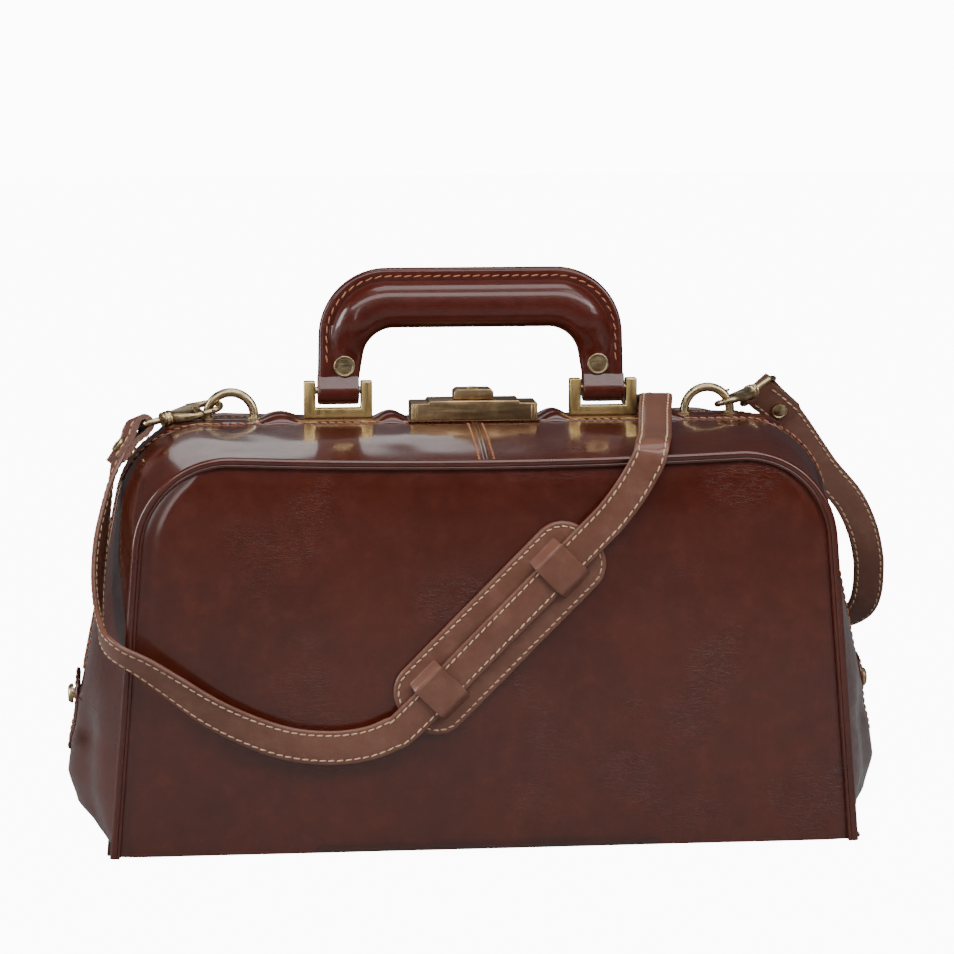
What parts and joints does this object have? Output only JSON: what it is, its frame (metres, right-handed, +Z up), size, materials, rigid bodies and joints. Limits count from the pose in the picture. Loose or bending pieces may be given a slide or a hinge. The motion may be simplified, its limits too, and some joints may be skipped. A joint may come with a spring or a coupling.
{
  "type": "doctor bag",
  "caption": "Leather doctor bag with a hinged frame that opens at the top, a swinging padded handle, a sprung lock and a shoulder strap on snap hooks with a sliding pad.",
  "frame": {"origin": "middle of the bottom, on the surface the bag stands on", "axes": "+X along the bag to the right, +Y from the lock side to the rear, +Z up"},
  "size_m": [0.4206, 0.1974, 0.266],
  "materials": {
    "body_leather": "polished full-grain leather, dark reddish brown",
    "trim_leather": "polished full-grain leather, dark reddish brown",
    "handle_leather": "polished leather over padding",
    "strap_leather": "smooth strap leather, mid brown",
    "lining": "woven cotton lining, beige",
    "board": "plain stiffener board",
    "frame_steel": "dark painted spring steel",
    "lock_bronze": "dark antique bronze plate, brushed",
    "bracket_brass": "antique brass plate, brushed",
    "antique_brass": "antique brass plate, dark in the hollows"
  },
  "bodies": {
    "bag": {"base_panel": "body_leather", "base_board": "board", "front_panel": "body_leather", "rear_panel": "body_leather", "lining_front": "lining", "lining_rear": "lining", "piping_front": "trim_leather", "piping_rear": "trim_leather", "gusset_lower_left": "body_leather", "gusset_lower_right": "body_leather", "hinge_tab_left": "trim_leather", "hinge_tab_right": "trim_leather", "hinge_pin_left": "antique_brass", "hinge_pin_right": "antique_brass", "strap_rear_run": "strap_leather", "strap_crossing": "strap_leather", "strap_front_run": "strap_leather"},
    "front_half": {"frame_front": "frame_steel", "frame_cover_front": "trim_leather", "roof_front_left": "body_leather", "roof_front_right": "body_leather", "lock_plate": "lock_bronze", "lock_case": "lock_bronze"},
    "rear_half": {"frame_rear": "frame_steel", "frame_cover_rear": "trim_leather", "roof_rear_left": "body_leather", "roof_rear_right": "body_leather", "lock_catch": "lock_bronze", "bracket_left": "bracket_brass", "bracket_right": "bracket_brass", "handle_pins": "antique_brass", "ring_left": "antique_brass", "ring_right": "antique_brass", "ring_eyelets": "antique_brass", "hook_left": "antique_brass", "hook_right": "antique_brass", "swivel_left": "antique_brass", "swivel_right": "antique_brass", "strap_end_left": "strap_leather", "strap_end_right": "strap_leather", "strap_rivet_left": "antique_brass", "strap_rivet_right": "antique_brass", "strap_left_drop": "strap_leather", "strap_right_drop": "strap_leather"},
    "handle": {"handle_grip": "handle_leather", "grip_pad_front": "handle_leather", "grip_pad_rear": "handle_leather", "handle_rivets": "antique_brass"},
    "lock_button": {"lock_button": "lock_bronze", "latch_bolt": "lock_bronze"},
    "key_barrel": {"key_barrel": "lock_bronze"},
    "gate_left": {"gate_left": "antique_brass"},
    "gate_right": {"gate_right": "antique_brass"},
    "shoulder_pad": {"shoulder_pad": "strap_leather"}
  },
  "joints": [
    {"name": "front_half_open", "type": "hinge", "parent": "bag", "child": "front_half", "pos_m": [0, 0, 0.0614], "axis": [1, 0, 0], "range_deg": [0, 24], "deforming": ["roof_front_left", "roof_front_right"]},
    {"name": "rear_half_open", "type": "hinge", "parent": "bag", "child": "rear_half", "pos_m": [0, 0, 0.0614], "axis": [1, 0, 0], "range_deg": [-14.4, 0], "deforming": ["roof_rear_left", "roof_rear_right", "strap_left_drop", "strap_right_drop"]},
    {"name": "handle_swing", "type": "hinge", "parent": "rear_half", "child": "handle", "pos_m": [0, 0.0045, 0.207], "axis": [1, 0, 0], "range_deg": [-50, 85]},
    {"name": "lock_button_slide", "type": "slide", "parent": "front_half", "child": "lock_button", "axis": [1, 0, 0], "range_m": [0, 0.005], "stiffness_N_per_m": 200, "springref_m": -0.001},
    {"name": "key_turn", "type": "hinge", "parent": "lock_button", "child": "key_barrel", "pos_m": [0, -0.0045, 0.2065], "axis": [0, 0, 1], "range_deg": [0, 90]},
    {"name": "gate_left_slide", "type": "slide", "parent": "rear_half", "child": "gate_left", "axis": [-0.9008, -0.3904, -0.1902], "range_m": [0, 0.0035], "stiffness_N_per_m": 150, "springref_m": -0.001},
    {"name": "gate_right_slide", "type": "slide", "parent": "rear_half", "child": "gate_right", "axis": [0.6401, 0.7629, 0.0909], "range_m": [0, 0.0035], "stiffness_N_per_m": 150, "springref_m": -0.001},
    {"name": "pad_slide", "type": "slide", "parent": "bag", "child": "shoulder_pad", "axis": [0.7031, 0, 0.7111], "range_m": [-0.008, 0.008]}
  ],
  "couplings": [
    {"joint": "rear_half_open", "follows": "front_half_open", "ratio": -0.6}
  ]
}
